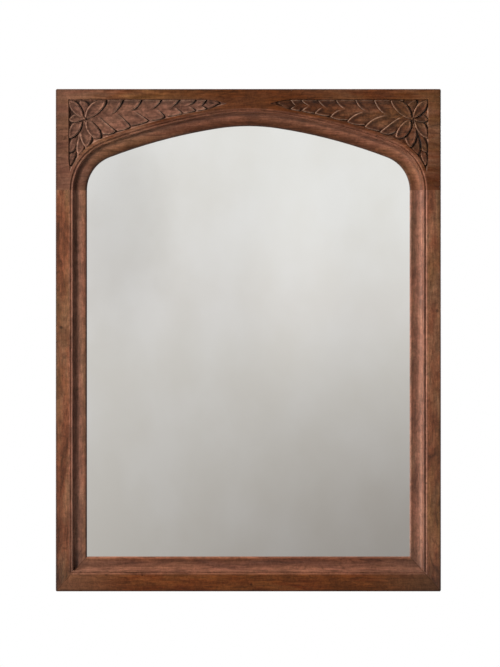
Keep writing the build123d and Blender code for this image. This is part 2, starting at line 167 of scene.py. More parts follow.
# The rest of the room from left to right, as gloss sees it and as it lights the object
gloss_tones = [
    (0.0, 4.4), (0.08, 3.4), (0.16, 0.90), (0.32, 0.50),
    (0.56, 0.40), (0.72, 1.0), (0.84, 0.40), (0.95, 0.08),
]
room_tones = [(0.0, 0.16), (0.5, 0.05), (1.0, 0.02)]


def add_camera():
    """A long lens square to the front, with the photograph's framing."""
    data = bpy.data.cameras.new("camera")
    data.lens = data.sensor_width * camera_distance / (photo_height * metres_per_pixel)
    camera = bpy.data.objects.new("camera", data)
    bpy.context.scene.collection.objects.link(camera)
    centre_x = cad_low.x + (photo_width / 2 - photo_left) * metres_per_pixel
    centre_z = cad_high.z - (photo_height / 2 - photo_top) * metres_per_pixel
    camera.location = (centre_x, front_y - camera_distance, centre_z)
    camera.rotation_mode = "QUATERNION"
    camera.rotation_quaternion = Vector((0, 1, 0)).to_track_quat("-Z", "Y")
    bpy.context.scene.camera = camera


def add_lamp(name, place, size, watts, in_gloss):
    """A square soft box that faces the middle of the mirror."""
    middle = Vector((0.0, front_y, (cad_low.z + cad_high.z) / 2))
    data = bpy.data.lights.new(name, "AREA")
    data.shape = "SQUARE"
    data.size = size
    data.energy = watts
    data.color = lamp_tint
    lamp = bpy.data.objects.new(name, data)
    lamp.visible_glossy = in_gloss
    lamp.location = place
    lamp.rotation_mode = "QUATERNION"
    lamp.rotation_quaternion = (middle - Vector(place)).to_track_quat("-Z", "Y")
    bpy.context.scene.collection.objects.link(lamp)


def add_world():
    """A white background, and a pale room that glass and gloss see with its far wall."""
    world = bpy.data.worlds.new("studio")
    bpy.context.scene.world = world
    world.use_nodes = True
    graph = Graph(world.node_tree)
    direction = graph.add("ShaderNodeTexCoord").outputs["Generated"]
    axes = graph.add("ShaderNodeSeparateXYZ", {"Vector": direction}).outputs
    path = graph.add("ShaderNodeLightPath").outputs

    lean = graph.math("MULTIPLY_ADD", axes["X"], wall_lean, 1.0)
    height = graph.spread(graph.math("MULTIPLY", axes["Z"], lean), -wall_span, wall_span, smooth=False)
    wall = graph.ramp(height, [(place, linear(*tone)) for place, tone in wall_tones])
    across = graph.spread(axes["X"], -1.0, 1.0, smooth=False)
    gloss = graph.ramp(across, [(place, grey(level)) for place, level in gloss_tones])
    gloss = graph.mix(graph.spread(axes["Y"], *wall_edge), wall, gloss)
    room = graph.ramp(across, [(place, grey(level)) for place, level in room_tones])
    unseen = graph.mix(path["Is Glossy Ray"], room, gloss)
    seen = graph.mix(path["Is Camera Ray"], unseen, grey(1.0))
    background = graph.add("ShaderNodeBackground", {"Color": seen})
    graph.add("ShaderNodeOutputWorld", {"Surface": background.outputs[0]})


def new_material(name, kind=Graph, *details):
    """A material and the graph that writes its nodes."""
    material = bpy.data.materials.new(name)
    material.use_nodes = True
    return material, kind(material.node_tree, *details)


def close_material(graph, inputs, height=None, distance=0.0):
    """The one surface shader of a material, with its bump."""
    if height is not None:
        bump = graph.add("ShaderNodeBump", {"Height": height, "Distance": distance})
        inputs["Normal"] = bump.outputs[0]
    shader = graph.add("ShaderNodeBsdfPrincipled", inputs)
    graph.add("ShaderNodeOutputMaterial", {"Surface": shader.outputs[0]})


def add_floor():
    """A plain pale round floor, well below the hanging mirror."""
    bpy.ops.mesh.primitive_circle_add(vertices=96, radius=floor_radius, fill_type="NGON",
                                      location=(0, 0, cad_low.z - floor_drop))
    floor = bpy.context.object
    floor.name = "floor"
    material, graph = new_material("pale_floor")
    clouds = graph.noise(graph.place((1, 1, 1)), 3.0)
    tone = graph.mix(clouds, linear(222, 221, 219), linear(228, 227, 225))
    close_material(graph, {"Base Color": tone, "Roughness": 0.8})
    floor.data.materials.append(material)


# Wood: shades are factors on the stain's colour

# A rosy sheen painted over the mouldings' highlights and on the left carving, paler and greyer than the wood
rosy_sheen = linear(134, 94, 79)
# Tones painted at the ends of the header and rail as the light falls off: lighter and rosier at the left,
# darker and greyer at the right
rusty = linear(120, 83, 70)
dull = linear(112, 76, 56)
dusky = linear(74, 52, 38)
# The tone of the highlights painted on the carving's rims
highlight_tone = linear(170, 138, 118)

# The sight edge: half its width, its foot, and the arcs above, each by its centre's x and z and its radius
sight_half_width, sight_foot_z = 0.320, -0.68627
arch_arcs = ((0.0, -0.22277, 0.390), (-0.10097, -0.87502, 1.050), (0.250, 0.040, 0.070))
arch_joints, joint_blend = (0.062, 0.281), 0.004

# The moulding, outward: the sight edge, lip, band, the cove's foot, hollow and wall, ridge, groove and flat
moulding_reach = 0.040
moulding_places = (0.0005, 0.0030, 0.0070, 0.0130, 0.0185, 0.0230, 0.0288, 0.0316, 0.0350)
moulding_end = (0.8, 0.9)
# Light and shade painted along the moulding: lighter on coves and ridges, darker in the cove's shadow and by
# the plate; each board's levels are divided by this range for the ramp
painted_light_range = 2.5
# Where along the moulding the rosy sheen is painted, as shares of its reach
sheen_places = [(0.0, 1.0), (0.12, 0.4), (0.38, 1.0), (0.80, 1.0), (0.90, 0.0)]
front_fade = 0.1 * (plate_y - front_y)

# Dark outer edges, arrises and feet, and the seam of the mitre
edge_run, edge_shades = 0.032, (0.80, 1.04)
arris_run, arris_shade = 0.0045, 0.35
head_share = 5.0
foot_run = (0.02, 0.11)
seam_run, seam_shade = (0.0003, 0.0010), 0.62
mitre_normal = Vector((rail_high.z - rail_low.z, stile_high.x - stile_low.x)).normalized()

# Heartwood, knots and growth lines
heart_share, heart_tail = 0.85, 0.3
knot_reach, knot_pull = 6.0, 0.22
knot_core, knot_rim, knot_shade = 0.3, 1.6, 0.35
growth_rings, line_width, line_shade = 18.0, 0.15, 0.62

# How the figure calms down at the ends of a board across
calm_run = (0.03, 0.12)
calm_streaks, calm_mottle = (0.4, 0.97), (0.65, 1.0)

# The carving's rosy sheen painted on the left, its painted shade and rim highlights, its chipped tone, and
# the bump of every board
rosy_run, rosy_shares = (-0.1, 0.1), (0.65, 0.05)
painted_shade_strength, highlight_share = 0.93, 0.8
chip_scale, chip_span, chip_shades = (95.0, 95.0, 120.0), (0.32, 0.68), (0.66, 1.38)
pore_bump, handwork_bump, bump_height = 0.12, 0.6, 0.0006


@dataclass(frozen=True)
class Figure:
    """Marks in wood: a noise that is stretched along the grain, and the shades that it spans."""

    along: float
    across: float
    shift: float = 0.0
    detail: float = 4.0
    roughness: float = 0.5
    distortion: float = 0.0
    span: tuple = (0.30, 0.70)
    shades: tuple = (0.0, 1.0)


patches = Figure(7.0, 30.0, 0.0, 7.0, 0.66, 0.7)
patch_places = (0.33, 0.47, 0.62)
ochre_patches = Figure(5.0, 24.0, 3.0, 5.0, 0.6, span=(0.42, 0.64), shades=(0.0, 0.65))
growth = Figure(3.2, 17.0, 5.0, 3.0, 0.5, 0.5)
faint_growth = Figure(6.0, 30.0, 8.0, 2.0, span=(0.36, 0.60), shades=(line_shade, 1.0))
streaks = Figure(17.0, 290.0, 0.0, 6.0, 0.66, shades=(0.72, 1.22))
curl = Figure(150.0, 110.0, 6.0, 5.0, 0.62, 1.0, shades=(0.80, 1.19))
flecks = Figure(170.0, 480.0, 4.0, 3.0, span=(0.60, 0.72), shades=(1.0, 0.62))
pores = Figure(90.0, 1500.0, 2.0, 2.0, span=(0.58, 0.70), shades=(1.0, 0.74))
long_mottle = Figure(13.0, 80.0, 9.0, 6.0, 0.7, 1.2, span=(0.38, 0.62), shades=(0.77, 1.24))
short_mottle = replace(long_mottle, along=26.0, across=48.0)
polish = Figure(25.0, 60.0, 4.0, shades=(0.34, 0.48))
handwork = Figure(60.0, 110.0, 7.0, 3.0)


@dataclass
class Board:
    """One board: its grain along X or Z, its deep, red, ochre and pale tones, its gloss, and the light and
    shade painted on it.

    Its painted light is how much lighter or darker the stain is painted at each of the moulding's places,
    standing in for the moulding's light and shade, times its ends at the frame's left and right. Its painted
    sheen is the share of rosy sheen painted over the moulding's highlights, and its fade is its painted shade
    at the height of the frame's foot and of its head. The heart is where along X the dark heartwood starts,
    is full, wanes and ends. A painted end shade is a side, a tone, a share and a run, and a knot is a place
    on the face and a radius.
    """

    along: str
    tones: tuple
    seed: float
    gloss: float
    member: str = ""
    painted_light: tuple = ()
    ends: tuple = (1.0, 1.0)
    painted_sheen: float = 0.0
    fade: tuple = (1.0, 1.0)
    foot_shade: float = 1.0
    heart: tuple = ()
    painted_end_shades: tuple = ()
    knots: tuple = ()
    mottle: Figure = long_mottle
    carved: bool = False


class WoodGraph(Graph):
    """The node tree of one board's wood."""

    def __init__(self, tree, board):
        super().__init__(tree)
        self.board = board
        self.axes = self.add("ShaderNodeSeparateXYZ", {"Vector": self.place((1, 1, 1))}).outputs
        self.across = self.math("ABSOLUTE", self.axes["X"])
        self.side = self.math("SUBTRACT", cad_high.x, self.across)
        self.foot = self.math("SUBTRACT", self.axes["Z"], cad_low.z)

    def marks(self, figure):
        """A figure's bare noise."""
        scale = (figure.along, figure.across, figure.across)
        if self.board.along == "Z":
            scale = scale[::-1]
        seed, shift = self.board.seed, figure.shift
        vector = self.place(scale, (seed * 3.1 + shift, seed * 1.7, seed * 2.3 + shift))
        return self.noise(vector, 1.0, figure.detail, figure.roughness, figure.distortion)

    def shades(self, figure):
        return self.spread(self.marks(figure), *figure.span, *figure.shades)

    def calmed(self, shade, share, level):
        """A shade that turns towards a level at the ends of a board across."""
        if self.board.along == "Z":
            return shade
        return self.mix(self.spread(self.side, *calm_run, share, 0.0), shade, grey(level))

    def on_face(self, x):
        """The point of the face in front, with the given x."""
        return self.add("ShaderNodeCombineXYZ", {"X": x, "Z": self.axes["Z"]}).outputs[0]

    def tone(self):
        """The stain's colour: long patches, the dark heart, and the light and shade painted at the ends."""
        deep, red, ochre, pale = [linear(*tone) for tone in self.board.tones]
        tone = self.ramp(self.marks(patches), list(zip(patch_places, (deep, red, pale))))
        tone = self.mix(self.shades(ochre_patches), tone, ochre)
        if self.board.heart:
            start, full, waning, end = self.board.heart
            share = self.math("MULTIPLY", self.spread(self.axes["X"], start, full, 0.0, heart_share),
                              self.spread(self.axes["X"], waning, end, 1.0, heart_tail))
            tone = self.mix(share, tone, deep)
        for sign, painted_shade, share, run in self.board.painted_end_shades:
            outer = self.math("MULTIPLY", self.axes["X"], sign)
            tone = self.mix(self.spread(outer, cad_high.x - run, cad_high.x, 0.0, share), tone, painted_shade)
        return tone

    def growth_lines(self):
        """Growth lines, which bend round the knots, and the shade of the knots themselves."""
        field, knot = self.marks(growth), 1.0
        for x, z, radius in self.board.knots:
            gap = self.distance(self.on_face(self.axes["X"]), (x, 0, z))
            field = self.math("ADD", field, self.spread(gap, 0.0, knot_reach * radius, knot_pull, 0.0))
            core = self.spread(gap, knot_core * radius, knot_rim * radius, knot_shade, 1.0)
            knot = self.math("MULTIPLY", knot, core)
        rings = self.math("PINGPONG", self.math("MULTIPLY", field, growth_rings), 0.5)
        lines = self.spread(rings, 0.0, line_width, line_shade, 1.0)
        return self.math("MAXIMUM", lines, self.shades(faint_growth)), knot

    def edge_and_height_shade(self):
        """The shade of the frame's outer edges and feet, of the mitre's seam, and the shade painted from foot
        to head.
        """
        head = self.math("MULTIPLY", self.math("SUBTRACT", cad_high.z, self.axes["Z"]), head_share)
        edge = self.math("MINIMUM", self.math("MINIMUM", self.side, self.foot), head)
        rise = self.math("MULTIPLY", self.foot, mitre_normal[1])
        seam = self.math("ABSOLUTE", self.math("MULTIPLY_ADD", self.side, -mitre_normal[0], rise))
        return self.product(
            self.spread(edge, 0.0, edge_run, *edge_shades),
            self.spread(edge, 0.0, arris_run, arris_shade, 1.0),
            self.spread(self.foot, *foot_run, self.board.foot_shade, 1.0),
            self.spread(seam, *seam_run, seam_shade, 1.0),
            self.spread(self.axes["Z"], cad_low.z, cad_high.z, *self.board.fade, smooth=False),
        )

    def outward(self):
        """How far a point of the header, a stile or the rail lies outward from the sight edge."""
        if self.board.member == "stile":
            return self.math("SUBTRACT", self.across, sight_half_width)
        if self.board.member == "rail":
            return self.math("SUBTRACT", sight_foot_z, self.axes["Z"])
        point = self.on_face(self.across)
        reach, *others = [self.math("SUBTRACT", self.distance(point, (x, 0, z)), radius)
                          for x, z, radius in arch_arcs]
        for joint, other in zip(arch_joints, others):
            share = self.spread(self.across, joint - joint_blend, joint + joint_blend)
            reach = self.math("MULTIPLY_ADD", share, self.math("SUBTRACT", other, reach), reach)
        return reach

    def moulding(self):
        """The light and shade painted along the moulding, and the share of rosy sheen painted over it, on the
        front alone.
        """
        place = self.math("DIVIDE", self.outward(), moulding_reach)
        on_front = self.spread(self.axes["Y"], plate_y, plate_y + front_fade, 1.0, 0.0)
        painted_light = self.ramp(place, [(out / moulding_reach, grey(level / painted_light_range))
                                 for out, level in zip(moulding_places, self.board.painted_light)])
        lateral = self.spread(self.axes["X"], cad_low.x, cad_high.x, *self.board.ends, smooth=False)
        lateral = self.mix(self.spread(place, *moulding_end), lateral, grey(1.0))
        painted_light = self.math("MULTIPLY_ADD", self.math("MULTIPLY", painted_light, lateral), painted_light_range, -1.0)
        painted_sheen = self.ramp(place, [(at, grey(share * self.board.painted_sheen)) for at, share in sheen_places])
        return self.math("MULTIPLY_ADD", painted_light, on_front, 1.0), self.math("MULTIPLY", painted_sheen, on_front)

    def carving(self, tone, grain):
        """The carving's tone and shade: painted shade in the cuts, painted highlights on the rims, and a rosy
        sheen painted on the left.
        """
        painted_shade_mask, rim_highlight = [self.add("ShaderNodeAttribute", attribute_name=name).outputs["Fac"]
                          for name in ("painted_shade_mask", "rim_highlight")]
        tone = self.mix(self.spread(self.axes["X"], *rosy_run, *rosy_shares), tone, rosy_sheen)
        tone = self.mix(self.math("MULTIPLY", rim_highlight, highlight_share), tone, highlight_tone)
        chips = self.noise(self.place(chip_scale), detail=5.0, roughness=0.6, distortion=0.6)
        painted_shade = self.math("MULTIPLY_ADD", painted_shade_mask, -painted_shade_strength, 1.0)
        return tone, self.product(grain, painted_shade, self.spread(chips, *chip_span, *chip_shades))


def wood(name, board):
    """Stained and waxed hardwood, for one board or for the carving in it."""
    material, graph = new_material(name, WoodGraph, board)
    tone = graph.tone()
    lines, knots = graph.growth_lines()
    hollows = graph.shades(pores)
    grain = graph.product(lines, graph.calmed(graph.shades(streaks), *calm_streaks), graph.shades(curl),
                          graph.shades(flecks), hollows)
    if board.carved:
        tone, shade = graph.carving(tone, grain)
    else:
        mottle = graph.calmed(graph.shades(board.mottle), *calm_mottle)
        shade = graph.product(grain, knots, graph.edge_and_height_shade(), mottle)
        if board.member:
            # Light and shade painted along the moulding, and the rosy sheen painted over it
            painted_light, painted_sheen = graph.moulding()
            tone = graph.mix(painted_sheen, tone, rosy_sheen)
            shade = graph.math("MULTIPLY", shade, painted_light)
    relief = graph.math("MULTIPLY", graph.marks(handwork), handwork_bump)
    relief = graph.math("MULTIPLY_ADD", hollows, pore_bump, relief)
    inputs = {
        "Base Color": graph.mix(1.0, tone, shade, "MULTIPLY"),
        "Roughness": graph.shades(polish),
        "Specular IOR Level": board.gloss,
    }
    close_material(graph, inputs, relief, bump_height)
    return material


header_board = Board(
    "X", ((80, 38, 12), (110, 66, 45), (122, 86, 52), (136, 97, 74)), 1.0, 0.16, "header",
    painted_light=(0.35, 0.55, 0.95, 1.27, 1.38, 0.70, 1.15, 1.2, 1.0),
    ends=(0.74, 1.28),
    painted_sheen=0.35,
    fade=(0.9, 1.09),
    heart=(-0.28, -0.03, 0.06, 0.38),
    painted_end_shades=((-1, rusty, 0.6, 0.12),),
)
carved_board = replace(header_board, gloss=0.2, carved=True)
left_board = Board(
    "Z", ((82, 48, 31), (124, 73, 50), (118, 85, 54), (138, 97, 71)), 2.0, 0.3, "stile",
    painted_light=(0.5, 0.88, 1.12, 1.12, 1.05, 0.80, 0.68, 1.7, 1.0),
    painted_sheen=0.7,
    fade=(0.88, 1.24),
    foot_shade=0.5,
    knots=((-0.3705, -0.232, 0.003),),
    mottle=short_mottle,
)
right_board = replace(
    left_board,
    seed=3.0,
    painted_light=(1.1, 0.7, 0.84, 0.98, 0.98, 1.25, 0.68, 1.45, 1.0),
    fade=(0.94, 1.12),
    knots=((0.374, -0.199, 0.0035), (0.352, -0.54, 0.002)),
)
rail_board = Board(
    "X", ((60, 26, 10), (88, 41, 18), (96, 53, 24), (102, 59, 31)), 4.0, 0.16, "rail",
    painted_light=(1.65, 1.35, 0.98, 0.91, 0.82, 1.2, 1.2, 1.35, 1.0),
    painted_sheen=0.45,
    fade=(1.07, 1.07),
    painted_end_shades=((-1, dull, 0.75, 0.17), (1, dusky, 0.75, 0.17)),
    knots=((0.0057, -0.7405, 0.0024), (0.0096, -0.7515, 0.0016), (-0.21, -0.722, 0.002)),
)
beech = Board("X", ((156, 116, 76), (176, 136, 94), (186, 152, 108), (196, 160, 118)), 5.0, 0.2)


# The other materials

# Painted reflection: patches in the plate's colour, one darker and one lighter, each a place on the plate and
# a level, with their two radii, blur and squash
reflection_patches = [(-0.25, -0.02, 0.89), (0.098, -0.138, 1.055)]
patch_radii, patch_blur, patch_squash = (0.05, 0.15), 0.05, 0.4


def silvered_glass():
    """Mirror plate with a faint clouding in the silvering, and patches of painted reflection, one darker and
    one lighter.
    """
    material, graph = new_material("silvered_glass")
    clouds = graph.noise(graph.place((9.0, 9.0, 7.0)), detail=3.0, roughness=0.45)
    tone = graph.ramp(clouds, [(0.35, linear(243, 242, 239)), (0.65, linear(248, 248, 247))])
    point = graph.place((1.0, 0.0, patch_squash))
    for x, z, level in reflection_patches:
        gap = graph.distance(point, (x, 0.0, patch_squash * z))
        gap = graph.math("MULTIPLY_ADD", clouds, patch_blur, gap)
        tone = graph.mix(1.0, tone, graph.spread(gap, *patch_radii, level, 1.0), "MULTIPLY")
    haze = graph.spread(clouds, 0.3, 0.7, 0.035, 0.05)
    close_material(graph, {"Base Color": tone, "Metallic": 1.0, "Roughness": haze})
    return material


def hardboard():
    """Bare brown fibreboard, speckled with fibres."""
    material, graph = new_material("hardboard")
    fibres = graph.noise(graph.place((420.0, 420.0, 420.0)), detail=5.0, roughness=0.7, distortion=1.4)
    cloud = graph.noise(graph.place((7.0, 7.0, 7.0)), detail=3.0)
    stops = [(0.30, linear(122, 94, 66)), (0.5, linear(158, 126, 91)), (0.70, linear(182, 151, 113))]
    tone = graph.mix(graph.math("MULTIPLY", cloud, 0.5), graph.ramp(fibres, stops), linear(140, 108, 76))
    inputs = {"Base Color": tone, "Roughness": 0.85, "Specular IOR Level": 0.3}
    close_material(graph, inputs, fibres, 0.0002)
    return material


def plated_steel(name, tone_low, tone_high, rough):
    """Plated steel with fine rolling lines and faint stains."""
    material, graph = new_material(name)
    lines = graph.noise(graph.place((900.0, 900.0, 60.0)), detail=3.0)
    stains = graph.noise(graph.place((140.0, 140.0, 140.0)), detail=4.0)
    tone = graph.ramp(stains, [(0.35, tone_low), (0.65, tone_high)])
    sheen = graph.spread(lines, 0.3, 0.7, rough, rough + 0.14)
    close_material(graph, {"Base Color": tone, "Metallic": 1.0, "Roughness": sheen}, lines, 0.00004)
    return material


def soft_matter(name, scale, stops, inputs, bump, **texture):
    """A dull soft material whose tone and bump follow one fine noise."""
    material, graph = new_material(name)
    grain = graph.noise(graph.place((scale, scale, scale)), **texture)
    close_material(graph, {"Base Color": graph.ramp(grain, stops), **inputs}, grain, bump)
    return material


def dress_frame():
    """Gives every node of the frame its material, by the first of these words that its name holds."""
    rubber_tones = [(0.35, linear(30, 30, 31)), (0.7, linear(48, 47, 46))]
    felt_tones = [(0.35, linear(52, 51, 50)), (0.65, linear(86, 85, 82))]
    rubber = soft_matter("black_rubber", 320.0, rubber_tones, {"Roughness": 0.72}, 0.0001)
    finishes = {
        "screws": plated_steel("zinc_plate", linear(176, 168, 140), linear(208, 200, 172), 0.28),
        "hanger": plated_steel("nickel_plate", linear(168, 166, 160), linear(202, 200, 194), 0.22),
        "bumper": rubber,
        "setting_block": rubber,
        "cushion_strip": soft_matter("grey_felt", 700.0, felt_tones, {"Roughness": 0.95, "Sheen Weight": 0.3},
                                     0.0003, detail=5.0, distortion=2.0),
        "dowels": wood("wood_dowel", beech),
        "header": wood("wood_header", header_board),
        "stile_left": wood("wood_stile_0", left_board),
        "stile_right": wood("wood_stile_1", right_board),
        "bottom_rail": wood("wood_rail", rail_board),
        "mirror_plate": silvered_glass(),
        "back_panel": hardboard(),
    }
    for name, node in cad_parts.items():
        node.data.materials.clear()
        node.data.materials.append(next(finish for word, finish in finishes.items() if word in name))


# Carved spandrels: leaves in relief, in millimetres from the rosette's centre, as they lie on the left

rosette_from_corner = (31.8, -38.4)
sample_step, tree_step = 1.0, 0.2
grid_step, row_gaps = 1.5, (0.3, 0.7, 1.2, 1.9)
point_gap, edge_gap = 0.42, 0.2
crease_angle = 0.7

# The faces of the header's sunk floor, and the painted shade and highlight of what no surface sets
front_facing, floor_gap, least_flat = -0.99, 0.05 * MM, 2000 * MM * MM
unset_shade_and_highlight = (1.0, 0.0)

# The ground, and the cut marks on every surface
ground_depth, insert_depth = 5.4, 5.95
deepest = ground_depth + 0.3
wall_run, slope_run, slope_power = 4.0, 6.0, 0.8
ground_shade, ground_cut = {1: 0.75, -1: 0.15}, 0.5
mark_depth, mark_scale, mark_shift = 0.22, 0.16, 7.0

# A leaf's place in its row, its hollow, lip and rim, as depths below the face
first_start, first_back = 10.0, 18.0
upper_tuck, lower_tuck = 3.0, 2.0
valley_depth, row_depth = 4.0, 2.0
row_start, row_hollow = 0.1, 1.5
outward_power, onward_power, hollow_power = 0.6, 0.7, 0.8
lip_rise, lip_width = 2.0, 3.6
rim_width, rim_drop, rim_power = 2.4, 2.0, 1.25
spine_run = 5.0
petal_power, dish_run = 0.7, 2.2
centre_run, centre_share = 6.0, 0.15
knob_radius, knob_depth = 2.0, 0.3

# Depths of a petal's base, tip and dish
rosette_depths, hidden_depths, spray_depths = (1.2, 0.7, 2.3), (3.0, 2.0, 1.0), (3.6, 1.6, 1.0)
tip_depths = (valley_depth, 1.2, 0.5)

# The cuts beside the leaves above, the shade painted in them, heaviest on the side away from the light, and
# the highlights painted on the rims
deep_side, deep_bias = (0.9, -0.42), 0.25
cut_width, cut_depth, cut_power, cut_shade = 6.0, 2.0, 1.5, 0.2
knife_width, knife_depth, knife_shade, knife_start = 4.4, 2.0, 2.2, 0.2
taper_share, taper_run = 0.45, 1.5
undercut_share, undercut_start, undercut_run = 0.4, 0.25, 0.35
pit_width, pit_depth, pit_shade, pit_start = 3.6, 1.8, 1.3, 0.3
border_shade, border_shade_gain = 1.8, 1.3
hollow_shade, hollow_place, hollow_width = 0.42, 5.5, 3.0
highlight_width, petal_highlight, highlight_guard = 1.2, 0.5, 1.5

# The rosette's petals: a base, one side's points, the tip, and the other side's points
petals = [
    ((0.8, 0.2), [(6.1, 20.2), (21.2, 34.6)], (42.1, 36.6), [(36.4, 21.7), (19.7, 5.8)]),
    ((-0.2, 0.5), [(-7.5, 21.7), (-18.1, 33.1)], (-30.7, 37.0), [(-28.4, 21.7), (-16.6, 8.1)]),
    ((2.8, -2.5), [(16.7, -7.8), (28.8, -22.2)], (32.1, -37.0), [(16.7, -36.5), (4.6, -22.2)]),
    ((-1.5, -0.7), [(-15.8, 8.9)], (-32.0, -1.9), [(-18.9, -7.0)]),
    ((-3.7, -3.7), [(-22.6, -9.3), (-30.5, -23.7)], (-30.7, -38.1), [(-18.1, -33.1), (-8.3, -20.7)]),
    ((0.1, -4.0), [(12.5, -22.2), (14.4, -40.3)], (4.3, -57.0), [(-6.3, -43.4), (-8.7, -22.2)]),
]
hidden_petals = [
    ((1.1, 1.3), [(9.9, 18.7), (6.1, 30.0)], (-6.8, 37.2), [(-9.3, 27.8), (-3.7, 14.2)]),
]
# Leaves of the same kind that hang below the rosette
down_spray = [
    ((-4.5, -16.1), [(-1.5, -37.3), (0.1, -55.5)], (-11.3, -71.4), [(-15.8, -55.5), (-11.3, -34.3)]),
    ((-8.3, -22.2), [(-13.6, -43.4), (-18.1, -59.2)], (-30.2, -66.4), [(-29.9, -52.4), (-22.6, -35.8)]),
    ((-14.3, -52.4), [(-15.8, -64.5), (-19.6, -78.2)], (-26.9, -92.1), [(-30.5, -79.7), (-25.7, -64.5)]),
]
midline = [
    (10, 1.5), (27.9, 4.4), (50.3, 8.1), (65.7, 10.1), (91, 14.4), (113.5, 15.8), (134, 18.9), (152, 19.8),
    (173, 22.2), (204, 25.2), (231.5, 25.4),
]
# Ends of the upper row's leaves, from the midline to the border
upper_ends = [
    [(50.0, 8.1), (63.7, 17.2), (72.8, 30.9), (75.0, 37.0)],
    [(90.8, 14.6), (103.1, 23.1), (112.0, 37.0)],
    [(133.5, 19.0), (143.6, 27.1), (150.5, 37.0)],
    [(172.1, 22.0), (180.2, 29.5), (186.5, 37.0)],
    [(202.9, 25.1), (213.0, 30.9), (218.8, 37.0)],
    [(231.2, 25.5), (236.4, 32.0), (240.1, 36.8)],
]
# Ends of the lower row's leaves, from the midline to the tip, and the points back under the leaf.
# The ones near the rosette differ between the left and the right carving.
near_lower_ends = {
    1: [
        ([(28.8, 3.5), (42.4, -8.6), (61.0, -24.6)], [(54.6, -29.0), (45.0, -30.8), (34.0, -28.0)]),
        ([(65.1, 6.6), (80.3, -3.6), (89.6, -15.2)], [(82.3, -20.2), (72.0, -23.0), (62.5, -25.5)]),
        ([(98.4, 11.5), (114.6, 4.6), (125.4, -4.2)], [(113.0, -9.6), (101.0, -12.6), (92.0, -13.6)]),
        ([(142.4, 17.2), (151.5, 12.4), (157.8, 3.8)], [(149.5, -0.6), (139.0, -2.8), (128.0, -4.2)]),
    ],
    -1: [
        ([(22.3, 4.7), (34.1, -2.6), (48.0, -13.5), (63.8, -26.3)],
         [(56.0, -30.3), (46.0, -30.8), (33.0, -25.6)]),
        ([(48.0, 7.3), (71.7, 1.8), (85.6, -7.5), (93.2, -16.2)],
         [(85.5, -20.0), (75.0, -22.6), (66.0, -24.0)]),
        ([(91.5, 13.3), (110.3, 9.7), (122.2, 1.4), (128.1, -5.6)],
         [(119.2, -9.9), (107.3, -12.1), (95.4, -12.5)]),
        ([(136.0, 19.2), (148.9, 15.6), (156.8, 9.3), (161.7, 3.2)],
         [(150.8, -0.6), (140.9, -2.2), (129.0, -2.4)]),
    ],
}
far_lower_ends = [
    ([(179.5, 20.4), (187.6, 15.8), (192.6, 10.4)], [(185.1, 8.1), (175.3, 6.1), (165.4, 5.3)]),
    ([(205.4, 25.1), (212.2, 21.6), (218.4, 16.2)], [(208.9, 12.9), (201.0, 11.5), (195.0, 10.9)]),
    ([(231.9, 25.1), (236.6, 22.8), (240.4, 19.2)], [(230.6, 16.8), (222.7, 16.0)]),
]
# The leaf at the field's point, of the petals' kind
tip_leaf = ((225.0, 25.4), [(236.0, 36.0), (255.0, 36.6)], (266.5, 30.4), [(255.0, 24.0), (240.0, 18.4)])


@dataclass
class Leaf:
    """One carved leaf, with heights as depths below the face.

    A petal is a dished blade with a raised rim all round. A leaf in a row rises out of the midline's valley
    to a free rim at its end. The cut beside a leaf is deepest at its pit, or else at its tip.
    """

    outline: np.ndarray
    rim: np.ndarray
    base: np.ndarray
    tip: np.ndarray
    base_depth: float
    tip_depth: float
    dish: float = 0.0
    in_row: bool = False
    pit: np.ndarray = None


def unit(values):
    """Values held between nothing and one."""
    return np.clip(values, 0, 1)


def fall(distance, width):
    """One on a line, and nothing from a width away."""
    return unit(1 - distance / width)


def bell(distance, width):
    """One on a line, with soft flanks."""
    return np.exp(-((distance / width) ** 2))


def lifted(start, share):
    """A share that starts above nothing."""
    return start + (1 - start) * share


def between(near, far):
    """How far a point has come from one line to another, by its distances from both."""
    return near / (near + far + 1e-6)


def through(points):
    """A smooth curve through two, three or four points, sampled by length."""
    points = np.array(points, float)
    knots = np.linspace(0, 1, len(points))
    length = np.linalg.norm(np.diff(points, axis=0), axis=1).sum()
    t = np.linspace(0, 1, max(2, int(length / sample_step) + 1))
    curve = np.zeros((len(t), 2))
    for i, point in enumerate(points):
        weight = np.ones_like(t)
        for j, knot in enumerate(knots):
            if j != i:
                weight *= (t - knot) / (knots[i] - knot)
        curve += weight[:, None] * point
    return curve


def closed(*curves):
    """Curves that follow one another as one closed outline."""
    return np.concatenate([curve[:-1] for curve in curves])


def resample(line, step, closed_loop=True):
    """A line with points added so that none of its runs is longer than a step."""
    ends = np.roll(line, -1, axis=0)
    points = []
    for a, b in list(zip(line, ends))[: None if closed_loop else -1]:
        count = max(1, int(np.ceil(np.linalg.norm(b - a) / step)))
        points += [a + (b - a) * i / count for i in range(count)]
    return np.array(points if closed_loop else points + [line[-1]])


def search_tree(lines, closed_loop=False):
    """A tree of closely spaced points on lines."""
    dots = np.concatenate([resample(line, tree_step, closed_loop) for line in lines])
    tree = kdtree.KDTree(len(dots))
    for i, dot in enumerate(dots):
        tree.insert((*dot, 0), i)
    tree.balance()
    return tree


def outline_distance(points, tree):
    """How far each point lies from the outlines in a tree."""
    return np.array([tree.find((*point, 0))[2] for point in points])


def outline_offset(points, tree):
    """How far each point lies from the outlines in a tree, and in which direction from them."""
    found = [tree.find((*point, 0)) for point in points]
    distance = np.array([gap for _, _, gap in found])
    away = points - np.array([near[:2] for near, _, _ in found])
    return distance, away / np.maximum(distance, 1e-6)[:, None]


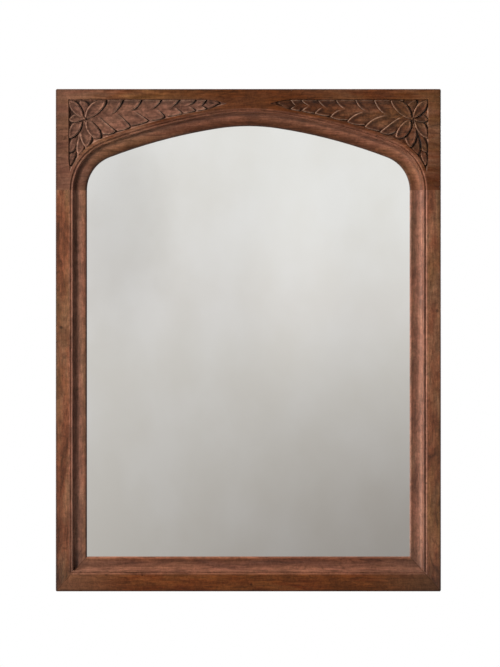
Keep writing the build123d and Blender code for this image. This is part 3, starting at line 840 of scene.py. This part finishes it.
def inside(points, outline):
    """Which points a closed outline holds."""
    held = np.zeros(len(points), bool)
    x, z = points[:, 0], points[:, 1]
    for a, b in zip(outline, np.roll(outline, -1, axis=0)):
        crosses = (a[1] > z) != (b[1] > z)
        with np.errstate(divide="ignore", invalid="ignore"):
            at = (b[0] - a[0]) * (z - a[1]) / (b[1] - a[1]) + a[0]
        held ^= crosses & (x < at)
    return held


def on_midline(x):
    """The points of the spray's midline at distances to the right of the rosette."""
    return np.column_stack([x, np.interp(x, *np.transpose(midline))])


def along_midline(start, end):
    """The spray's midline between two distances to the right of the rosette."""
    return on_midline(np.append(np.arange(start, end, sample_step), end))


def petal_leaf(spec, shake, depths):
    """A petal or a leaf of its kind, with the points of its two sides shaken."""
    base, one_side, tip, other_side = spec
    rising = through([base, *[shake(p) for p in one_side], tip])
    outline = closed(rising, through([tip, *[shake(p) for p in other_side], base]))
    return Leaf(outline, outline, np.array(base), np.array(tip), *depths)


def row_leaf(start, vertex, end, under, shake, pit=None):
    """A leaf in a row: along the midline to its vertex, up its shaken end to the tip, and back under it."""
    spine, tip = along_midline(start, vertex[0]), end[-1]
    rising = through([vertex, *[shake(p) for p in end[1:-1]], tip])
    below = through([tip, *under])
    outline = closed(spine, rising, below, through([under[-1], tuple(spine[0])]))
    free = np.concatenate([rising, below])
    return Leaf(outline, free, spine[0], np.array(tip), valley_depth, row_depth, in_row=True, pit=pit)


def spray_leaves(shake, side):
    """The two rows of leaves from the rosette to the field's point, each tucked under the one before."""
    starts = [first_start] + [end[0][0] - upper_tuck for end in upper_ends]
    backs = [first_back] + [end[-1][0] - upper_tuck for end in upper_ends]
    leaves = [row_leaf(start, end[0], end, [(back, end[-1][1])], shake)
              for start, back, end in zip(starts, backs, upper_ends)]
    lower_ends = near_lower_ends[side] + far_lower_ends
    starts = [first_start] + [end[0][0] - lower_tuck for end, _ in lower_ends]
    for start, (end, under) in zip(starts, lower_ends):
        vertex = tuple(on_midline([end[0][0]])[0])
        pit = np.array(under[-1] if side < 0 else end[-1])
        leaves.append(row_leaf(start, vertex, end, under, shake, pit))
    return leaves


def spandrel_leaves(rng, wobble, side):
    """All leaves of one spandrel, the topmost first."""
    def shake(point):
        return tuple(np.array(point) + rng.normal(0.0, wobble, 2))

    turn = np.linspace(0, 2 * np.pi, 16, endpoint=False)
    ring = knob_radius * np.column_stack([np.cos(turn), np.sin(turn)])
    leaves = [Leaf(ring, ring, np.zeros(2), ring[0], knob_depth, knob_depth)]
    kinds = ((petals, rosette_depths), (hidden_petals, hidden_depths), (down_spray, spray_depths))
    leaves += [petal_leaf(spec, shake, depths) for specs, depths in kinds for spec in specs]
    leaves += spray_leaves(shake, side)
    leaves.append(petal_leaf(tip_leaf, shake, tip_depths))
    return leaves


def sunk_field_depth(mesh):
    """The depth of the sunk fields: the frontmost flat behind the face itself."""
    areas = {}
    for polygon in mesh.polygons:
        if polygon.normal.y < front_facing:
            level = round(polygon.center.y, 5)
            areas[level] = areas.get(level, 0.0) + polygon.area
    return sorted(level for level, area in areas.items() if area > least_flat)[1]


def floor_outline():
    """The outline of the left sunk field, read from the header's floor faces, in millimetres."""
    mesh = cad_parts["header"].data
    depth = sunk_field_depth(mesh)
    used = {}
    for polygon in mesh.polygons:
        on_floor = polygon.normal.y < front_facing and abs(polygon.center.y - depth) < floor_gap
        if on_floor and polygon.center.x < 0:
            corners = [mesh.vertices[v].co for v in polygon.vertices]
            keys = [(round(corner.x / MM, 3), round(corner.z / MM, 3)) for corner in corners]
            for a, b in zip(keys, keys[1:] + keys[:1]):
                if (b, a) in used:
                    del used[(b, a)]
                else:
                    used[(a, b)] = True
    follows = dict(used.keys())
    start = point = min(follows)
    loop = []
    while True:
        loop.append(point)
        point = follows[point]
        if point == start:
            return np.array(loop)


def sample_points(outlines):
    """Extra points inside the first outline: rows beside every one of them, and a grid between."""
    rows = []
    for outline in outlines:
        fine = resample(outline, sample_step)
        tangent = np.roll(fine, -1, axis=0) - np.roll(fine, 1, axis=0)
        tangent /= np.maximum(np.linalg.norm(tangent, axis=1)[:, None], 1e-9)
        normal = np.column_stack([-tangent[:, 1], tangent[:, 0]])
        for gap in row_gaps:
            rows += [fine + gap * normal, fine - gap * normal]
    low, high = outlines[0].min(axis=0), outlines[0].max(axis=0)
    columns, lines = [np.arange(low[i], high[i], grid_step) for i in range(2)]
    grid = np.stack(np.meshgrid(columns, lines), -1).reshape(-1, 2)
    grid[:, 0] += (np.round(grid[:, 1] / grid_step) % 2) * grid_step / 2
    points = np.concatenate(rows + [grid])
    _, first = np.unique(np.round(points / point_gap).astype(int), axis=0, return_index=True)
    points = points[np.sort(first)]
    points = points[inside(points, outlines[0])]
    return points[outline_distance(points, search_tree(outlines, closed_loop=True)) > edge_gap]


def flat_pattern(field, leaves):
    """The field in flat triangles that keep to every outline, and the topmost leaf over each, or -1."""
    outlines = [field] + [leaf.outline for leaf in leaves]
    points, edges = [], []
    for outline in outlines:
        first, count = len(points), len(outline)
        points += [Vector(p) for p in outline]
        edges += [(first + i, first + (i + 1) % count) for i in range(count)]
    points += [Vector(p) for p in sample_points(outlines)]
    flat, _, faces, *_ = geometry.delaunay_2d_cdt(points, edges, [], 0, 1e-4)
    flat = np.array([tuple(p) for p in flat])
    faces = np.array([tuple(f) for f in faces])
    centres = flat[faces].mean(axis=1)
    kept = inside(centres, field)
    faces, centres = faces[kept], centres[kept]
    region = np.full(len(faces), -1)
    for i in reversed(range(len(leaves))):
        region[inside(centres, leaves[i].outline)] = i
    return flat, faces, region


def knife_cut(points, above, field, spine, side):
    """Depth and painted shade of the cuts beside the leaves above, deepest at their pits and on the side away
    from the light.

    Shade is also painted under the field's border on that side, and a highlight along the border on the
    other.
    """
    lee_side = np.array(deep_side) * (side, 1)
    border, inward = outline_offset(points, search_tree([field], closed_loop=True))
    facing = inward @ lee_side
    painted_shade = fall(border, border_shade) * unit(border_shade_gain * facing)
    painted_highlight = bell(border, highlight_width) * unit(-facing)
    if not above:
        return np.zeros(len(points)), painted_shade, painted_highlight
    over, away = outline_offset(points, search_tree([leaf.rim for leaf in above]))
    pits = [leaf.tip if leaf.pit is None else leaf.pit for leaf in above]
    pit = outline_distance(points, search_tree([np.array([place]) for place in pits]))
    lee = unit(deep_bias + away @ lee_side)
    taper = lifted(taper_share, unit(taper_run * between(spine, border)))
    reach = lifted(undercut_share, unit((side * away[:, 0] - undercut_start) / undercut_run))
    cut = fall(over, cut_width) ** cut_power
    knife = fall(over, knife_width * taper * reach * lifted(knife_start, lee)) * lee
    hole = fall(pit, pit_width) * lifted(pit_start, lee)
    painted_shade = painted_shade + cut_shade * cut * lee + knife_shade * knife + pit_shade * hole
    return cut_depth * cut + knife_depth * knife + pit_depth * hole, painted_shade, painted_highlight


def leaf_surface(points, leaf, above, field, spine, side):
    """Depth of a leaf's surface, the shade painted on it, and the highlight painted along its rim.

    The leaf rises to its tip, is hollow inside a chamfered rim, and falls to a cut beside the leaf above it.
    """
    rim = outline_distance(points, search_tree([leaf.rim]))
    drop = leaf.tip_depth - leaf.base_depth
    if leaf.in_row:
        border = outline_distance(points, search_tree([field], closed_loop=True))
        over = outline_distance(points, search_tree([other.rim for other in above]))
        outward, onward = between(spine, border), between(over, rim)
        rise = outward**outward_power * lifted(row_start, onward**onward_power)
        depth = leaf.base_depth + drop * rise
        depth += row_hollow * np.sin(np.pi * onward) * np.sin(np.pi * outward**hollow_power)
        depth -= lip_rise * outward**0.5 * bell(np.maximum(rim - 0.5 * rim_width, 0), lip_width)
        full, rim_highlight = unit(spine / spine_run), 1.0
    else:
        axis = leaf.tip - leaf.base
        share = unit(((points - leaf.base) @ axis) / (axis @ axis))
        depth = leaf.base_depth + drop * share**petal_power
        depth += leaf.dish * (1 - np.exp(-np.maximum(rim - rim_width, 0) / dish_run))
        full = np.clip(np.linalg.norm(points, axis=1) / centre_run, centre_share, 1)
        rim_highlight = petal_highlight
    depth += full * rim_drop * fall(rim, rim_width) ** rim_power
    cut, painted_shade, painted_highlight = knife_cut(points, above, field, spine, side)
    painted_highlight += rim_highlight * bell(rim, highlight_width) * unit(1 - highlight_guard * painted_shade)
    painted_shade += hollow_shade * bell(rim - hollow_place, hollow_width)
    return depth + full * cut, full * painted_shade, full * painted_highlight


def ground_surface(points, above, field, spine, side):
    """Depth of the ground, steep below the straight borders and long up to the arch, and its painted shade
    and highlight.
    """
    low_x, high_z = field[:, 0].min(), field[:, 1].max()
    arch = field[(field[:, 0] > low_x + sample_step / 2) & (field[:, 1] < high_z - sample_step / 2)]
    steep = np.minimum(points[:, 0] - low_x, high_z - points[:, 1]) / wall_run
    gentle = (outline_distance(points, search_tree([arch])) / slope_run) ** slope_power
    depth = ground_depth * np.minimum(1, np.minimum(steep, gentle))
    cut, painted_shade, painted_highlight = knife_cut(points, above, field, spine, side)
    painted_shade = ground_shade[side] * (depth / ground_depth) ** 2 * (steep < gentle) + painted_shade
    return depth + ground_cut * cut, painted_shade, painted_highlight


class Relief:
    """A closed body over a flat pattern: each region has its own front, and upright walls join them."""

    def __init__(self, field, leaves, rosette, side):
        self.rosette, self.side = rosette, side
        self.flat, self.faces, self.region = flat_pattern(field, leaves)
        self.depths, self.levels, self.finishes = {}, {}, {}
        self.corners, self.points, self.polygons = {}, [], []
        spine = outline_distance(self.flat, search_tree([along_midline(0.0, midline[-1][0])]))
        for region in np.unique(self.region):
            used = np.unique(self.faces[self.region == region])
            if region < 0:
                surface = ground_surface(self.flat[used], leaves, field, spine[used], side)
            else:
                above = leaves[:region]
                surface = leaf_surface(self.flat[used], leaves[region], above, field, spine[used], side)
            for v, depth, painted_shade, painted_highlight in zip(used, *surface):
                marks = noise.noise(Vector((*(self.flat[v] * mark_scale), mark_shift * side + region)))
                depth = min(max(depth + mark_depth * marks, 0.0), deepest)
                self.depths[(v, region)] = depth
                self.levels.setdefault(v, []).append(depth)
                self.finishes[(v, round(depth, 2))] = (min(max(painted_shade, 0.0), 1.0), min(max(painted_highlight, 0.0), 1.0))

    def corner(self, v, depth):
        """The one corner at a place and depth."""
        key = (v, round(depth, 2))
        if key not in self.corners:
            self.corners[key] = len(self.points)
            x, z = self.flat[v] + self.rosette
            self.points.append((self.side * x * MM, front_y + depth * MM, z * MM))
        return self.corners[key]

    def column(self, v, start, end):
        """The corners at a place from one depth to another, both included."""
        start, end, *depths = [round(depth, 2) for depth in (start, end, *self.levels[v])]
        low, high = min(start, end), max(start, end)
        corners = [self.corner(v, depth) for depth in sorted({start, end, *depths}) if low <= depth <= high]
        return corners if start <= end else corners[::-1]

    def add_faces(self):
        """The front and the back."""
        for face, region in zip(self.faces, self.region):
            self.polygons.append([self.corner(v, self.depths[(v, region)]) for v in face])
            self.polygons.append([self.corner(v, insert_depth) for v in face[::-1]])

    def add_walls(self):
        """A wall wherever one region meets another or the field ends."""
        sides = {}
        for face, region in zip(self.faces, self.region):
            for a, b in zip(face, np.roll(face, -1)):
                sides.setdefault((min(a, b), max(a, b)), []).append((a, b, region))
        for (a, b, region), *beyond in sides.values():
            if beyond and beyond[0][2] == region:
                continue
            far_a, far_b = [self.depths[(v, beyond[0][2])] if beyond else insert_depth for v in (a, b)]
            wall = self.column(a, self.depths[(a, region)], far_a)
            wall += self.column(b, far_b, self.depths[(b, region)])
            wall = [v for i, v in enumerate(wall) if v != wall[i - 1]]
            if len(wall) > 2:
                self.polygons.append(wall)

    def mesh(self, name):
        """The body as a mesh, with its painted shade and painted highlight as attributes."""
        mesh = bpy.data.meshes.new(name)
        mesh.from_pydata(self.points, [], self.polygons)
        finishes = [self.finishes.get(key, unset_shade_and_highlight) for key in self.corners]
        for attribute, values in zip(("painted_shade_mask", "rim_highlight"), zip(*finishes)):
            mesh.attributes.new(attribute, "FLOAT", "POINT").data.foreach_set("value", values)
        shape = bmesh.new()
        shape.from_mesh(mesh)
        bmesh.ops.recalc_face_normals(shape, faces=shape.faces)
        shape.to_mesh(mesh)
        shape.free()
        mesh.shade_smooth()
        mesh.set_sharp_from_angle(angle=crease_angle)
        return mesh


def build_carving(name, side, rng, wobble, material):
    """One spandrel's carving as a closed body that lines its sunk field."""
    floor = floor_outline()
    rosette = np.array([floor[:, 0].min(), floor[:, 1].max()]) + np.array(rosette_from_corner)
    field = resample(floor - rosette, sample_step)
    relief = Relief(field, spandrel_leaves(rng, wobble, side), rosette, side)
    relief.add_faces()
    relief.add_walls()
    mesh = relief.mesh(name)
    mesh.materials.append(material)
    carving = bpy.data.objects.new(name, mesh)
    bpy.context.scene.collection.objects.link(carving)
    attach(carving, "frame")


bpy.context.scene.view_settings.view_transform = "Standard"
add_camera()
add_world()
add_floor()
for lamp in lamps:
    add_lamp(*lamp)
dress_frame()
carved_wood = wood("wood_carved", carved_board)
build_carving("carving_left", 1, np.random.default_rng(3), 0.0, carved_wood)
build_carving("carving_right", -1, np.random.default_rng(8), 0.35, carved_wood)
